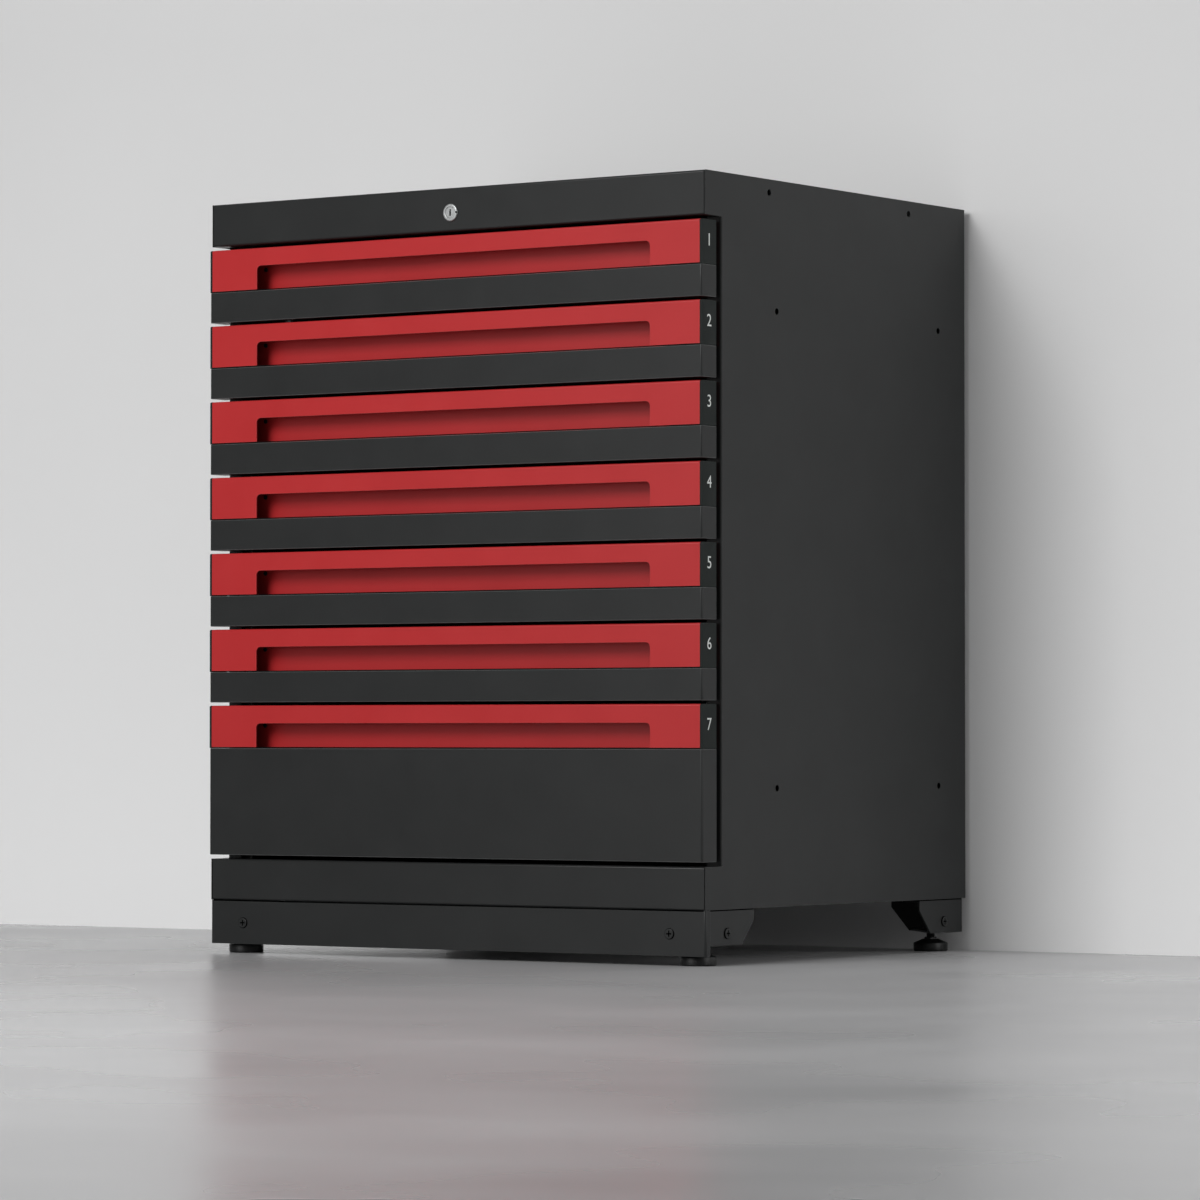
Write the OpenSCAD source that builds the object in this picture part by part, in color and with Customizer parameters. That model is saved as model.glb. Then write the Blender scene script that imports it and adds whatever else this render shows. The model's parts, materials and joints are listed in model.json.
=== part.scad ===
// Seven-drawer steel tool cabinet with a key lock, telescopic slides and a base on levelling feet.
// Millimetres, +Z up, drawers open towards -Y, origin on the floor at the middle of the cabinet.

/* [Cabinet body] */
// Width over the side panels
body_w = 675; // [600:5:800]
// Depth from the header's face to the rear
body_d = 538; // [536:2:640]
// Height of the body, from the base pan's underside to the top
body_h = 790; // [760:10:900]
// Height of the body's underside above the floor
base_h = 60; // [56:1:75]
// Thickness of the body's sheet steel
sheet = 1.2; // [1:0.1:1.5]
// Outer radius of a folded edge
bend_r = 2.5; // [2.2:0.1:3.5]
// Height of the header apron above the drawers
header_h = 48; // [44:0.1:60]
// Height of the bottom rail apron under the drawers
rail_h = 46.4; // [40:0.1:60]
// Depth of the folded lip behind each apron
apron_return = 20; // [12:1:24]
// Height of the side and rear flanges of the top cover and base pan
pan_flange = 25; // [22:1:32]
// Width of the front and rear flanges of a side panel
side_flange = 19; // [14:1:21]
// Gap where one body sheet fits inside another
fit_gap = 0.3; // [0.2:0.05:0.5]

/* [Side bolt holes] */
// Diameter of a bolt hole
bolt_d = 7; // [6:0.1:9]
// Distance of the four-hole pattern's front holes behind the header's face
bolt_front = 140; // [120:1:160]
// Distance between its front and rear holes
bolt_run = 338; // [330:1:345]
// Height of its lower holes above the body's underside
bolt_low = 129; // [120:1:150]
// Distance between its lower and upper holes
bolt_rise = 518; // [500:1:530]
// Distance of the top pair's front hole behind the header's face
top_bolt_front = 125; // [110:1:140]
// Distance between the holes of the top pair
top_bolt_run = 289; // [250:1:300]
// Distance of the top pair below the top
top_bolt_drop = 14.5; // [10:0.5:15]

/* [Drawer fronts] */
// Gap between one drawer front and the next
drawer_gap = 3.6; // [3:0.1:6]
// Gap between the drawer fronts and the header or the bottom rail
end_gap = 4.7; // [4:0.1:8]
// How far the drawer fronts stand ahead of the header
front_proud = 5; // [4:0.5:8]
// Depth of a drawer front, from its face to the rear edge of its returns
front_d = 27.8; // [24:0.1:30]
// How far a drawer front stays inside the body's side, each side
front_inset = 1.1; // [0.6:0.1:2]
// Gap between a front's returns and the cut-back edge of the side panel
notch_gap = 7.8; // [5:0.1:10]

/* [Handle bands] */
// Height of a handle band
handle_h = 47.05; // [44:0.05:50]
// Wall of the handle profile
handle_t = 2; // [1.6:0.1:2.6]
// Seam between a handle band and the panel below it
handle_seam = 1.2; // [0.6:0.1:2]
// Width of the finger recess
recess_w = 538; // [400:1:580]
// Height of the finger recess
recess_h = 26.8; // [20:0.1:28]
// Radius of the recess's upper corners
recess_r = 5.5; // [2:0.5:8]
// Outer radius of a screw boss inside the profile
boss_r = 3.4; // [3:0.1:4]
// Radius of the boss's screw channel
boss_bore_r = 1.7; // [1.4:0.1:1.9]
// Thickness of an end cap
cap_t = 3; // [2:0.1:4]
// Length of an end cap's spigots inside the profile
cap_spigot_l = 8; // [4:0.5:14]

/* [Trays] */
// Thickness of the tray's sheet steel
tray_t = 1; // [0.8:0.1:1.4]
// Distance of a tray's back from the rear of the body
tray_rear = 38.3; // [36.5:0.1:50]
// Height of a tray's floor above the lower edge of its front
tray_rise = 5; // [3:0.5:8]
// Drop from the upper edge of a front to its tray's rim
tray_drop = 7.5; // [5:0.5:12]
// Width of the folded rim round a tray
rim_w = 7; // [4:0.5:10]
// Reach of the lock catch behind a tray
catch_reach = 22; // [18:1:24]

/* [Slides and uprights] */
// How much shorter a slide is than its tray
slide_short = 12; // [8:1:40]
// Height of a slide
slide_h = 45; // [40:1:50]
// Width of a closed slide, from the upright to the tray
slide_w = 12.7; // [12:0.1:15]
// Thickness of a slide's steel
slide_t = 1.2; // [1:0.1:1.4]
// Running gap between the rails of a slide
slide_gap = 0.3; // [0.2:0.05:0.4]
// Depth of the lip that holds the middle rail
slide_lip = 1.5; // [1:0.1:2]
// Height of a slide's centre line above the lower edge of its drawer front
slide_rise = 38; // [34:1:44]
// Width of an upright, front to rear
upright_w = 40; // [30:1:50]
// Depth of an upright, from the body's side flanges to the slides
upright_d = 24; // [20:1:30]
// Thickness of an upright's steel
upright_t = 1.5; // [1.2:0.1:2]
// Distance of an upright's centre from the header's face, or from the rear
upright_in = 61; // [55:1:70]
// Height of a slot in an upright
upright_slot_h = 12; // [8:1:16]
// Width of a slot in an upright
upright_slot_w = 5; // [3:0.5:8]
// Diameter of the access holes in a middle rail
access_d = 8; // [6:0.5:12]

/* [Lock] */
// Diameter of the lock's bezel
bezel_d = 19.8; // [19:0.1:24]
// How far the bezel stands ahead of the header
bezel_proud = 2; // [1.5:0.5:6]
// How far the lock lies below the middle of the header
lock_drop = 3.4; // [0:0.1:5]
// Diameter of the lock's barrel
barrel_d = 17; // [16:0.1:18.5]
// Length of the barrel behind the header's face
barrel_l = 28; // [24:1:34]
// Diameter of the plug that turns with the key
plug_d = 12.5; // [11:0.1:14]
// Radial running clearance of the plug, the rod and the barrel
lock_clear = 0.05; // [0.02:0.01:0.08]
// Height of the keyway
keyway_h = 7.2; // [6:0.1:9]
// Width of the keyway
keyway_w = 2; // [1.6:0.1:2.6]
// Diameter of the lock rod
rod_d = 8; // [7:0.1:10]
// Radius of the rod's crank
crank_r = 8.5; // [8:0.1:9]
// Diameter of the crank pin
pin_d = 5; // [4:0.1:6]
// Width of the lock bar
bar_w = 20; // [18:1:26]
// Thickness of the lock bar
bar_t = 2.5; // [2:0.1:3]
// Thickness of the hooks and catches
hook_t = 3; // [2:0.1:4]

/* [Base] */
// Gap between the floor and the plinth
plinth_z = 10.6; // [8:0.2:14]
// Gap between the plinth and the body
plinth_gap = 1.5; // [1:0.1:3]
// Height of the stiffener under the base pan, behind the plinth
stiffener_h = 18; // [12:1:24]
// Thickness of the plinth's steel
plinth_t = 1.5; // [1.2:0.1:2]
// Depth of the folded end of the plinth
plinth_return = 9; // [6:0.5:14]
// Length of each leg of a corner bracket
bracket_l = 95; // [85:1:110]
// Height of a corner bracket under the body
bracket_h = 38.5; // [34:0.5:42]
// Height of the upright part of a leg's inner edge, above its slope
bracket_edge = 12; // [9:0.5:15]
// Thickness of a bracket's steel
bracket_t = 2.5; // [2:0.1:3]
// Width of the bolting flange at the top of a bracket
bracket_flange = 19; // [14:0.5:20]
// Distance of the rear brackets from the rear of the body
bracket_rear = 5; // [3:0.5:8]
// Distance of a foot's axis from the outer faces of its bracket
foot_in = 27; // [25.5:0.5:30]
// Diameter of a foot's pad
foot_d = 39; // [34:1:46]
// Height of the pad's rim
foot_rim = 10; // [8:0.5:12]
// Height of the pad's cone above its rim
foot_cone = 6; // [3:0.5:7]
// Diameter of a foot's stem
stem_d = 10; // [8:0.5:11]
// Distance of the side screws from a bracket's corner
screw_in = 42; // [38:1:50]
// Distance of the plinth's screws from a bracket's corner
screw_front = 45; // [38:1:50]
// Height of the screws above the floor
screw_z = 34.5; // [33:0.5:38]
// Diameter of a screw's head
screw_head_d = 12; // [10:0.2:13]
// Diameter of a screw's shank
screw_d = 6; // [5:0.1:6.5]

/* [Hidden] */
$fn = 48;
bend_fn = 16;
eps = 1;
drawer_units = [1, 1, 1, 1, 1, 1, 2];
drawers = len(drawer_units);

// Groove at each end of an apron, and the gap left where a part closes the end of a seam
apron_groove = 0.6;
close_gap = 0.1;

body_colour = "#2e3032";
handle_colour = "#b23434";
cap_colour = "#22282a";
zinc_colour = "#b9bcc0";
chrome_colour = "#d4d6d8";
pad_colour = "#1c1d1e";
screw_colour = "#2a2b2d";

// Planes of the body
y_face = -(body_d + front_proud) / 2;
y_body = y_face + front_proud;
y_back = y_body + body_d;
x_side = body_w / 2;
x_in = x_side - sheet;
x_pan = x_in - fit_gap;
z_top = base_h + body_h;
z_header = z_top - header_h;
z_rail = base_h + rail_h;
notch_y = y_face + front_d + notch_gap;
y_panel = y_back - 2 * sheet;

// Drawer fronts, counted from 1 at the top
function units_to(k) = k == 0 ? 0 : drawer_units[k - 1] + units_to(k - 1);
pitch = (z_header - z_rail - 2 * end_gap + drawer_gap) / units_to(drawers);
function front_h(k) = drawer_units[k - 1] * pitch - drawer_gap;
function front_z(k) = z_header - end_gap - units_to(k) * pitch + drawer_gap;
function panel_h(k) = front_h(k) - handle_h - handle_seam;
function handle_z(k) = front_z(k) + front_h(k) - handle_h;
front_x = x_side - front_inset;
front_y = y_face + front_d;

// Slides and uprights
x_upright = x_pan - sheet;
x_slide = x_upright - upright_d;
x_tray = x_slide - slide_w;
slide_y = notch_y + sheet + 2;
tray_back = y_back - tray_rear;
slide_l = tray_back - front_y - slide_short;
half_outer = slide_h / 2;
half_middle = half_outer - slide_t - slide_gap;
half_inner = half_middle - slide_t - slide_gap;
middle_in = slide_t + slide_gap;
inner_in = middle_in + slide_t + slide_gap;
outer_reach = slide_w - slide_gap;
lip_in = outer_reach - slide_t;
slide_r = slide_t + 2 * slide_gap;
slots_per_drawer = 3;
access_holes = 4;

// Lock train
z_lock = z_header + header_h / 2 - lock_drop;
crank_rest = 45;
pin_x = -crank_r * sin(crank_rest);
pin_drop = crank_r * cos(crank_rest);
bar_x = pin_x - 1;
bar_back = y_panel - fit_gap;
bar_front = bar_back - bar_t;
bar_lift = 2 * pin_drop;
slot_play = 0.45;
slot_w = crank_r + pin_x + pin_d + 2 * slot_play;
crank_t = 4;
crank_gap = 1;
hanger_in = 40;
hanger_t = 2;
hanger_w = 28;
collar_d = 14;
collar_l = 14;
tail_w = 7;
nut_t = 6;
nut_d = barrel_d * 1.45;
catch_rise = 46;
catch_lip = 14;
catch_w = bar_w;
hook_play = 3;
hook_drop = catch_lip + 29;
guide_t = 1.2;
guide_h = 18;
guide_foot = 12;

// Base
bracket_x = x_side - plinth_t;
bracket_front = y_body + plinth_t;
bracket_back = y_back - bracket_rear;
bracket_z = base_h - bracket_h;
bracket_bend = bracket_t + 1;
bracket_toe = bracket_l - (bracket_h - bracket_edge) + bracket_t;
weld_nut_d = stem_d * 1.9;
weld_nut_h = 8;
stem_top = base_h - bracket_t - 2;
stiffener_x = bracket_x - bracket_l - 1;
stiffener_w = 15;
stiffener_y = bracket_front + 8;
screw_head_t = plinth_t;
screw_l = 10;
cross_w = 1.4;
cross_l = 6.6;
cross_t = 1;

// Shared shapes

module along_x(from, to) {
    translate([from, 0, 0]) rotate([90, 0, 90]) linear_extrude(to - from) children();
}

module along_y(from, to) {
    translate([0, to, 0]) rotate([90, 0, 0]) linear_extrude(to - from) children();
}

module along_z(from, to) {
    translate([0, 0, from]) linear_extrude(to - from) children();
}

module block(low, high) {
    translate(low) cube(high - low);
}

module area(low, high) {
    translate(low) square(high - low);
}

module both_sides() {
    children();
    mirror([1, 0, 0]) children();
}

module drill_x(d, y, z, from, to) {
    translate([from, y, z]) rotate([0, 90, 0]) cylinder(d = d, h = to - from);
}

module drill_y(d, x, z, from, to) {
    translate([x, from, z]) rotate([-90, 0, 0]) cylinder(d = d, h = to - from);
}

module round_rect(low, high, r) {
    area([low.x + r, low.y], [high.x - r, high.y]);
    area([low.x, low.y + r], [high.x, high.y - r]);
    for (x = [low.x + r, high.x - r], y = [low.y + r, high.y - r]) translate([x, y]) circle(r);
}

// A closed ring of folded sheet, which the pieces below cut open
module sheet_ring(low, high, r, t) {
    difference() {
        round_rect(low, high, r);
        round_rect(low + [t, t], high - [t, t], r - t);
    }
}

// Cabinet body

// Right side panel seen from above, with its front flange at the given place
module side_plan(front) {
    intersection() {
        sheet_ring([x_side - 2 * side_flange, front], [x_side, y_back], bend_r, sheet);
        area([x_side - side_flange, front], [x_side, y_back]);
    }
}

module side_plan_unfolded() {
    intersection() {
        side_plan(y_body - side_flange);
        area([x_side - side_flange, y_body], [x_side, y_back]);
    }
}

module side_panel() {
    difference() {
        union() {
            along_z(base_h, z_rail) side_plan_unfolded();
            along_z(z_rail, z_header) side_plan(notch_y);
            along_z(z_header, z_top) side_plan_unfolded();
        }
        for (y = [0, bolt_run], z = [0, bolt_rise])
            drill_x(bolt_d, y_body + bolt_front + y, base_h + bolt_low + z, x_in - eps, x_side + eps);
        top_bolts();
    }
}

module top_bolts() {
    for (y = [0, top_bolt_run])
        drill_x(bolt_d, y_body + top_bolt_front + y, z_top - top_bolt_drop, x_upright - eps, x_side + eps);
}

module side_panel_right() {
    color(body_colour) side_panel();
}

module side_panel_left() {
    color(body_colour) mirror([1, 0, 0]) side_panel();
}

// Front apron, its lip, the flat sheet and the rear flange, with the sheet at the given height
module pan_section(h) {
    difference() {
        sheet_ring([y_body, 0], [y_back, h], bend_r, sheet);
        area([y_body + apron_return, -eps], [y_back + eps, h - pan_flange]);
    }
}

module pan_side(h) {
    along_x(x_pan - sheet, x_pan) {
        area([y_body + sheet, h - pan_flange], [y_panel - fit_gap, h - sheet]);
        area([y_body + sheet, sheet], [y_body + apron_return, h - sheet]);
    }
}

module pan(h) {
    difference() {
        union() {
            along_x(-x_pan, x_pan) pan_section(h);
            both_sides() pan_side(h);
        }
        both_sides() block([x_side - side_flange - fit_gap, y_panel, -eps], [x_side, y_back + eps, h + eps]);
        both_sides() block([x_pan - apron_groove, y_body - eps, -eps], [x_side, y_body + sheet, h + eps]);
    }
}

module rod_hanger() {
    y = y_back - hanger_in;
    block([-hanger_w / 2, y, z_lock - hanger_w / 2], [hanger_w / 2, y + hanger_t, z_top - sheet]);
}

module top_cover() {
    color(body_colour) difference() {
        union() {
            translate([0, 0, z_header]) pan(header_h);
            rod_hanger();
        }
        drill_y(barrel_d + 2 * lock_clear, 0, z_lock, y_body - eps, y_body + sheet + eps);
        drill_y(rod_d + 2 * lock_clear, 0, z_lock, y_back - hanger_in - eps, y_back - hanger_in + hanger_t + eps);
        both_sides() top_bolts();
    }
}

// Angle welded under the base pan between the front brackets
module base_stiffener() {
    low = [stiffener_y, base_h - stiffener_h];
    along_x(-stiffener_x, stiffener_x) intersection() {
        sheet_ring(low - [0, stiffener_h], [stiffener_y + 2 * stiffener_w, base_h + sheet / 2], bend_r, sheet);
        area(low, [stiffener_y + stiffener_w, base_h + sheet]);
    }
}

module base_pan() {
    color(body_colour) {
        translate([0, 0, z_rail]) mirror([0, 0, 1]) pan(rail_h);
        base_stiffener();
    }
}

// Bridge welded to the back panel, which the lock bar slides behind
module bar_guide(z) {
    half = bar_w / 2 + fit_gap;
    front = bar_front - fit_gap;
    along_z(z, z + guide_h) translate([bar_x, 0]) difference() {
        union() {
            area([-half - guide_t, front - guide_t], [half + guide_t, y_panel + sheet / 2]);
            area([-half - guide_foot, y_panel - guide_t], [half + guide_foot, y_panel + sheet / 2]);
        }
        area([-half, front], [half, y_panel]);
    }
}

module back_panel() {
    half = x_side - bend_r;
    color(body_colour) {
        block([-half, y_panel, base_h + bend_r], [half, y_back - sheet, z_top - bend_r]);
        for (k = [1, drawers]) bar_guide(front_z(k) + catch_rise + catch_lip);
    }
}

// Uprights and slides

module upright_plan() {
    difference() {
        sheet_ring([x_slide, -upright_w / 2], [x_upright + upright_d, upright_w / 2], bend_r, upright_t);
        area([x_upright, -upright_w], [x_upright + 2 * upright_d, upright_w]);
    }
}

// Column of slots in an upright's web, spaced from the drawers' pitch
module upright_slots() {
    step = pitch / slots_per_drawer;
    for (z = [z_rail + upright_slot_h : step : z_header - 2 * upright_slot_h])
        translate([0, z]) area([-upright_slot_w / 2, 0], [upright_slot_w / 2, upright_slot_h]);
}

module uprights() {
    color(body_colour) both_sides() for (y = [y_body + upright_in, y_back - upright_in]) translate([0, y]) difference() {
        along_z(base_h + sheet, z_top - sheet) upright_plan();
        along_x(x_slide - eps, x_slide + upright_t + eps) upright_slots();
    }
}

// Slide sections: x is the distance in from the upright, y the height from the slide's centre line

module outer_rail_section() {
    difference() {
        sheet_ring([0, -half_outer], [outer_reach, half_outer], slide_r, slide_t, $fn = bend_fn);
        area([lip_in - eps, -half_outer + slide_t + slide_lip], [slide_w, half_outer - slide_t - slide_lip]);
    }
}

module middle_rail_section() {
    intersection() {
        sheet_ring([middle_in, -half_middle], [2 * slide_w, half_middle], slide_r, slide_t, $fn = bend_fn);
        area([middle_in, -half_middle], [lip_in - slide_gap, half_middle]);
    }
}

module inner_rail_section() {
    intersection() {
        sheet_ring([-slide_w, -half_inner], [slide_w, half_inner], slide_r, slide_t, $fn = bend_fn);
        area([inner_in, -half_inner], [slide_w, half_inner]);
    }
}

// Left and right rail of one drawer, from its section
module rail_pair(k) {
    both_sides() along_y(slide_y, slide_y + slide_l)
        translate([x_slide, front_z(k) + slide_rise]) mirror([1, 0]) children();
}

module outer_rails() {
    color(zinc_colour) for (k = [1 : drawers]) rail_pair(k) outer_rail_section();
}

module middle_rails(k) {
    step = slide_l / access_holes;
    color(zinc_colour) difference() {
        rail_pair(k) middle_rail_section();
        for (y = [slide_y + step / 2 : step : slide_y + slide_l])
            drill_x(access_d, y, front_z(k) + slide_rise, -x_slide, x_slide, $fn = bend_fn);
    }
}

module inner_rails(k) {
    color(zinc_colour) rail_pair(k) inner_rail_section();
}

// Drawers

module drawer_front_plan(inset) {
    intersection() {
        round_rect([-front_x + inset, y_face + inset], [front_x - inset, front_y + front_d], bend_r - inset);
        area([-front_x, y_face], [front_x, front_y + (inset > 0 ? eps : 0)]);
    }
}

module drawer_front(k) {
    color(body_colour) difference() {
        along_z(front_z(k), front_z(k) + panel_h(k)) drawer_front_plan(0);
        along_z(front_z(k) + sheet, front_z(k) + panel_h(k) - sheet) drawer_front_plan(sheet);
    }
}

// Cross-section of the handle profile: x is front to rear, y is height above its lower edge

module handle_outline() {
    intersection() {
        round_rect([y_face, -handle_h], [front_y + front_d, handle_h], handle_t);
        area([y_face, 0], [front_y, handle_h]);
    }
}

module screw_boss(y, z) {
    difference() {
        translate([y, z]) circle(boss_r);
        translate([y, z]) circle(boss_bore_r);
    }
}

boss_y = front_y - handle_t - boss_r + handle_t / 2;
boss_low = recess_h + boss_r + 3;
boss_high = handle_h - boss_r - handle_t / 2;

module handle_section() {
    difference() {
        handle_outline();
        area([y_face + handle_t, -eps], [front_y - handle_t, handle_h - handle_t]);
    }
    screw_boss(boss_y, boss_low);
    screw_boss(boss_y, boss_high);
}

// Outline of the finger recess, open at the band's lower edge
module recess_outline() {
    half = recess_w / 2;
    area([-half, -eps], [half, recess_h - recess_r]);
    area([-half + recess_r, -eps], [half - recess_r, recess_h]);
    for (x = [-half + recess_r, half - recess_r]) translate([x, recess_h - recess_r]) circle(recess_r);
}

module handle(k) {
    half = front_x - cap_t;
    color(handle_colour) translate([0, 0, handle_z(k)]) difference() {
        along_x(-half, half) handle_section();
        along_y(y_face - eps, y_face + handle_t) recess_outline();
    }
}

// A cap also covers the end of the seam under its band
module cap_outline() {
    handle_outline();
    area([y_face, close_gap - handle_seam], [front_y, handle_t]);
}

module end_caps(k) {
    inner = front_x - cap_t;
    color(cap_colour) translate([0, 0, handle_z(k)]) both_sides() {
        along_x(inner, front_x) cap_outline();
        for (z = [boss_low, boss_high])
            drill_x(2 * (boss_bore_r - lock_clear), boss_y, z, inner - cap_spigot_l, inner);
    }
}

// Inverted hook behind a tray, which a lock bar hook catches
module lock_catch(k) {
    z = front_z(k) + catch_rise;
    along_x(bar_x - catch_w / 2, bar_x + catch_w / 2) {
        area([tray_back - tray_t, z + catch_lip - hook_t], [tray_back + catch_reach, z + catch_lip]);
        area([tray_back + catch_reach - hook_t, z], [tray_back + catch_reach, z + catch_lip]);
    }
}

module tray(k) {
    low = front_z(k) + tray_rise;
    high = front_z(k) + front_h(k) - tray_drop;
    x = x_tray - tray_t;
    y = [front_y + tray_t, tray_back - tray_t];
    color(body_colour) {
        difference() {
            block([-x_tray, front_y, low], [x_tray, tray_back, high]);
            block([-x, y[0], low + tray_t], [x, y[1], high - tray_t]);
            block([-x + rim_w, y[0] + rim_w, low + tray_t], [x - rim_w, y[1] - rim_w, high + eps]);
        }
        lock_catch(k);
    }
}

// Lock

module lock_cylinder() {
    chamfer = 1;
    y = y_body - bezel_proud;
    color(chrome_colour) {
        difference() {
            union() {
                translate([0, y, z_lock]) rotate([-90, 0, 0])
                    cylinder(d1 = bezel_d - 2 * chamfer, d2 = bezel_d, h = chamfer);
                drill_y(bezel_d, 0, z_lock, y + chamfer, y_body);
                drill_y(barrel_d, 0, z_lock, y_body - chamfer, y_body + barrel_l);
            }
            drill_y(plug_d + 2 * lock_clear, 0, z_lock, y - eps, y_body + barrel_l + eps);
        }
        difference() {
            translate([0, y_body + sheet, z_lock]) rotate([-90, 0, 0]) cylinder(d = nut_d, h = nut_t, $fn = 6);
            drill_y(barrel_d + 2 * lock_clear, 0, z_lock, y_body, y_body + sheet + nut_t + eps);
        }
    }
}

module lock_plug() {
    recess = 0.6;
    key_depth = 14;
    y = y_body - bezel_proud + recess;
    tail = y_body + barrel_l + collar_l;
    color(chrome_colour) difference() {
        union() {
            drill_y(plug_d, 0, z_lock, y, y_body + barrel_l);
            block([-tail_w / 2, y_body, z_lock - tail_w / 2], [tail_w / 2, tail, z_lock + tail_w / 2]);
        }
        block([-keyway_w / 2, y - eps, z_lock - keyway_h / 2], [keyway_w / 2, y + key_depth, z_lock + keyway_h / 2]);
    }
}

module lock_rod() {
    collar = y_body + barrel_l + fit_gap;
    arm = bar_front - crank_gap - crank_t;
    socket = tail_w / 2 + lock_clear;
    color(zinc_colour) {
        difference() {
            union() {
                drill_y(collar_d, 0, z_lock, collar, collar + collar_l + crank_t);
                drill_y(rod_d, 0, z_lock, collar + collar_l, arm + crank_t);
            }
            block([-socket, collar - eps, z_lock - socket], [socket, collar + collar_l, z_lock + socket]);
        }
        translate([0, 0, z_lock]) {
            along_y(arm, arm + crank_t) rotate(-crank_rest) {
                circle(d = collar_d);
                area([-pin_d, -crank_r], [pin_d, 0]);
                translate([0, -crank_r]) circle(pin_d);
            }
            drill_y(pin_d, pin_x, -pin_drop, arm + crank_t, bar_back);
        }
    }
}

// Hook that rises in front of a drawer's catch
module bar_hook(k) {
    catch_y = tray_back + catch_reach - hook_t;
    tip = catch_y - 2 * hook_play;
    z = front_z(k) + catch_rise - hook_drop;
    along_x(bar_x - hook_t / 2, bar_x + hook_t / 2) {
        area([tip - hook_t, z], [bar_front, z + 2 * hook_t]);
        area([tip - hook_t, z], [tip, front_z(k) + catch_rise - hook_play]);
    }
}

module lock_bar() {
    top = z_lock + pin_drop;
    bottom = front_z(drawers) + catch_rise - hook_drop - 2 * hook_t;
    slot_x = pin_x + pin_d / 2 + slot_play;
    slot_z = z_lock - pin_drop;
    half_slot = pin_d / 2 + slot_play;
    color(zinc_colour) {
        along_y(bar_front, bar_back) difference() {
            area([bar_x - bar_w / 2, bottom], [bar_x + bar_w / 2, top]);
            area([slot_x - slot_w, slot_z - half_slot], [slot_x, slot_z + half_slot]);
        }
        for (k = [1 : drawers]) bar_hook(k);
    }
}

// Base

module plinth_plan() {
    intersection() {
        sheet_ring([-x_side, y_body], [x_side, y_body + 4 * plinth_return], bend_r, plinth_t);
        area([-x_side, y_body], [x_side, y_body + plinth_return]);
    }
}

// The folded ends stand higher and close the seam above the plinth
module plinth_ends() {
    intersection() {
        plinth_plan();
        for (x = [-x_side, x_side - bend_r]) area([x, y_body], [x + bend_r, y_body + plinth_return]);
    }
}

module plinth() {
    color(body_colour) difference() {
        union() {
            along_z(plinth_z, base_h - plinth_gap) plinth_plan();
            along_z(plinth_z, base_h - close_gap) plinth_ends();
        }
        both_sides() drill_y(screw_d + 2 * fit_gap, bracket_x - screw_front, screw_z, y_body - eps, bracket_front + eps);
    }
}

// The two legs seen from above, folded from one strip
module bracket_plan() {
    intersection() {
        sheet_ring([0, 0], [2 * bracket_l, 2 * bracket_l], bracket_bend, bracket_t);
        area([0, 0], [bracket_l, bracket_l]);
    }
}

// Waste cut from the lower end of the leg that runs along +Y
module bracket_slope() {
    rise = bracket_h - bracket_edge;
    along_x(-eps, bracket_t + eps) polygon([
        [bracket_toe, -eps],
        [bracket_toe, 0],
        [bracket_l, rise],
        [bracket_l + eps, rise],
        [bracket_l + eps, -eps]
    ]);
}

// A bracket with its corner at the origin and its legs along +X and +Y
module corner_bracket(screwed_both) {
    hole = screw_d + 2 * fit_gap;
    z = screw_z - bracket_z;
    difference() {
        union() {
            along_z(0, bracket_h) bracket_plan();
            along_z(0, bracket_t) intersection() {
                round_rect([0, 0], [2 * bracket_l, 2 * bracket_l], bracket_bend);
                polygon([[0, 0], [bracket_toe, 0], [0, bracket_toe]]);
            }
            along_z(bracket_h - bracket_t, bracket_h) intersection() {
                round_rect([0, 0], [2 * bracket_l, 2 * bracket_l], bracket_bend);
                union() {
                    area([0, 0], [bracket_l, bracket_flange]);
                    area([0, 0], [bracket_flange, bracket_l]);
                }
            }
            translate([foot_in, foot_in, bracket_t]) cylinder(d = weld_nut_d, h = weld_nut_h, $fn = 6);
        }
        bracket_slope();
        mirror([1, -1, 0]) bracket_slope();
        translate([foot_in, foot_in, -eps]) cylinder(d = stem_d + 2 * lock_clear, h = bracket_h);
        drill_x(hole, screw_in, z, -eps, bracket_t + eps);
        if (screwed_both) drill_y(hole, screw_front, z, -eps, bracket_t + eps);
    }
}

module corner_brackets() {
    color(body_colour) both_sides() {
        translate([bracket_x, bracket_front, bracket_z]) mirror([1, 0, 0]) corner_bracket(true);
        translate([bracket_x, bracket_back, bracket_z]) rotate(180) corner_bracket(false);
    }
}

// A cross-head screw along +Y, with the seat of its head at the origin
module cross_screw() {
    chamfer = screw_head_t / 3;
    difference() {
        union() {
            drill_y(screw_head_d, 0, 0, -screw_head_t + chamfer, 0);
            translate([0, -screw_head_t, 0]) rotate([-90, 0, 0])
                cylinder(d1 = screw_head_d - 4 * chamfer, d2 = screw_head_d, h = chamfer);
            drill_y(screw_d, 0, 0, -chamfer, screw_l);
        }
        for (turn = [0, 90]) rotate([0, turn, 0])
            block([-cross_l / 2, -screw_head_t - eps, -cross_w / 2], [cross_l / 2, cross_t - screw_head_t, cross_w / 2]);
    }
}

module base_screws() {
    color(screw_colour) both_sides() {
        translate([bracket_x - screw_front, y_body, screw_z]) cross_screw();
        for (y = [bracket_front + screw_in, bracket_back - screw_in])
            translate([bracket_x, y, screw_z]) rotate(90) cross_screw();
    }
}

module foot(side, y) {
    color(pad_colour) translate([side * (bracket_x - foot_in), y, 0]) rotate_extrude() polygon([
        [0, 0],
        [foot_d / 2 - 1, 0],
        [foot_d / 2, 1],
        [foot_d / 2, foot_rim],
        [stem_d * 0.7, foot_rim + foot_cone],
        [stem_d / 2, foot_rim + foot_cone],
        [stem_d / 2, stem_top],
        [0, stem_top]
    ]);
}

module front_foot(side) {
    foot(side, bracket_front + foot_in);
}

module rear_foot(side) {
    foot(side, bracket_back - foot_in);
}

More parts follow.
